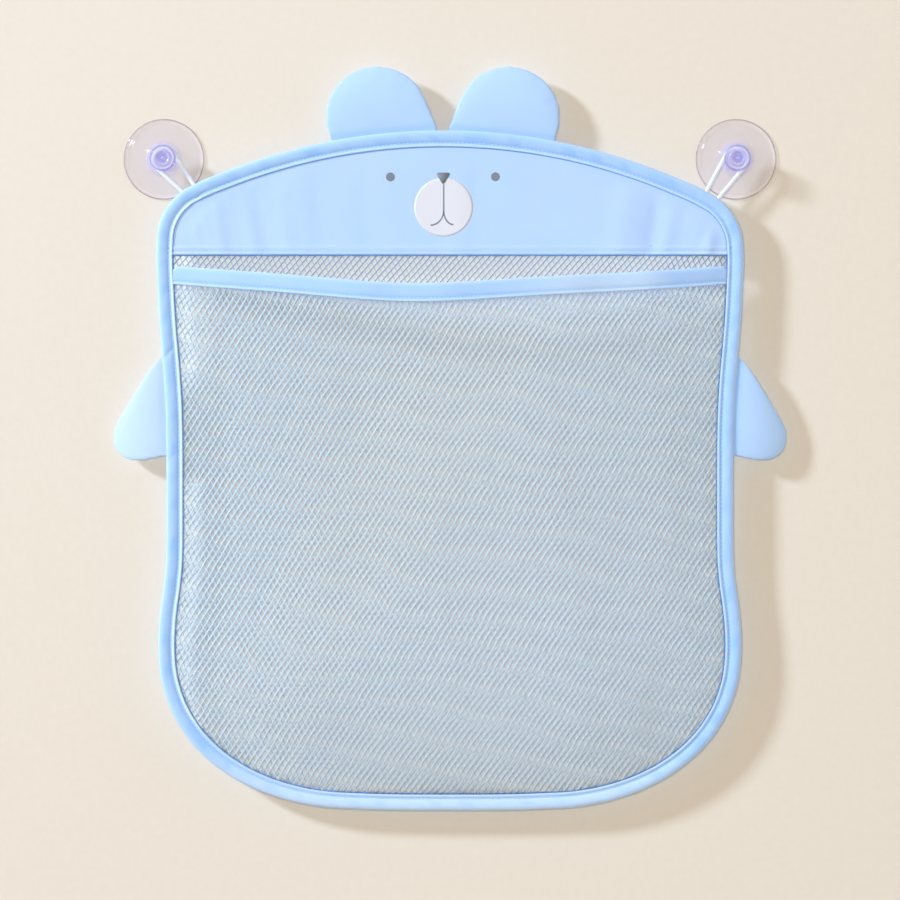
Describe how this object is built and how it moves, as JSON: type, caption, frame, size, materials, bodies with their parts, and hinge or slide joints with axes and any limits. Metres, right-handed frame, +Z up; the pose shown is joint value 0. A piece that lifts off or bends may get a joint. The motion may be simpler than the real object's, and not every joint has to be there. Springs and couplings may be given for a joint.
{
  "type": "mesh bathroom organizer",
  "caption": "Flat mesh pocket bag on a wire-hoop frame with cloth binding, bear-shaped head panel, padded ears and paws, hung by cord loops on suction cups.",
  "frame": {"origin": "on the wall plane, midway between the two suction cups", "axes": "+X to the right, +Y into the wall, +Z up; the room is on the -Y side"},
  "size_m": [0.374, 0.0365, 0.4136],
  "materials": {
    "binding_cloth": "woven polyester tape",
    "panel_cloth": "smooth woven polyester",
    "hem_cloth": "woven polyester tape",
    "flap_cloth": "smooth woven polyester",
    "net": "knitted polyester mesh",
    "wadding": "polyester wadding",
    "hoop_wire": "drawn spring wire",
    "cord": "translucent cord",
    "cup_vinyl": "clear soft vinyl"
  },
  "bodies": {
    "bag": {"edge_binding": "binding_cloth", "stiffener_hoop": "hoop_wire", "hoop_ferrule": "hoop_wire", "head_panel": "panel_cloth", "rear_net": "net", "pocket_net": "net", "pocket_hem": "hem_cloth"},
    "ear_left": {"ear_left_front": "flap_cloth", "ear_left_back": "flap_cloth", "ear_left_wadding": "wadding"},
    "ear_right": {"ear_right_front": "flap_cloth", "ear_right_back": "flap_cloth", "ear_right_wadding": "wadding"},
    "paw_left": {"paw_left_front": "flap_cloth", "paw_left_back": "flap_cloth", "paw_left_wadding": "wadding"},
    "paw_right": {"paw_right_front": "flap_cloth", "paw_right_back": "flap_cloth", "paw_right_wadding": "wadding"},
    "loop_left": {"cord_loop_left": "cord"},
    "loop_right": {"cord_loop_right": "cord"},
    "cup_left": {"suction_cup_left": "cup_vinyl"},
    "cup_right": {"suction_cup_right": "cup_vinyl"}
  },
  "joints": [
    {"name": "ear_left_fold", "type": "hinge", "parent": "bag", "child": "ear_left", "pos_m": [-0.04007, -0.0105, 0.01458], "axis": [0.9949, 0, 0.1005], "range_deg": [-80, 80], "stiffness_Nm_per_rad": 0.02},
    {"name": "ear_right_fold", "type": "hinge", "parent": "bag", "child": "ear_right", "pos_m": [0.03207, -0.0105, 0.01452], "axis": [0.9949, 0, -0.1005], "range_deg": [-80, 80], "stiffness_Nm_per_rad": 0.02},
    {"name": "paw_left_fold", "type": "hinge", "parent": "bag", "child": "paw_left", "pos_m": [-0.15862, -0.0105, -0.16355], "axis": [-0.0446, 0, 0.999], "range_deg": [-80, 80], "stiffness_Nm_per_rad": 0.02},
    {"name": "paw_right_fold", "type": "hinge", "parent": "bag", "child": "paw_right", "pos_m": [0.15862, -0.0105, -0.16355], "axis": [-0.0446, 0, -0.999], "range_deg": [-80, 80], "stiffness_Nm_per_rad": 0.02},
    {"name": "loop_left_swing", "type": "hinge", "parent": "bag", "child": "loop_left", "pos_m": [-0.14677, -0.0105, -0.0151], "axis": [0.866, 0, 0.5], "range_deg": [-45, 90], "stiffness_Nm_per_rad": 0.05},
    {"name": "loop_right_swing", "type": "hinge", "parent": "bag", "child": "loop_right", "pos_m": [0.14677, -0.0105, -0.01892], "axis": [0.866, 0, -0.5], "range_deg": [-45, 90], "stiffness_Nm_per_rad": 0.05},
    {"name": "cup_left_spin", "type": "hinge", "parent": "loop_left", "child": "cup_left", "pos_m": [-0.1595, -0.0105, 0], "axis": [0, 1, 0], "continuous": true},
    {"name": "cup_right_spin", "type": "hinge", "parent": "loop_right", "child": "cup_right", "pos_m": [0.1595, -0.0105, 0], "axis": [0, 1, 0], "continuous": true}
  ]
}
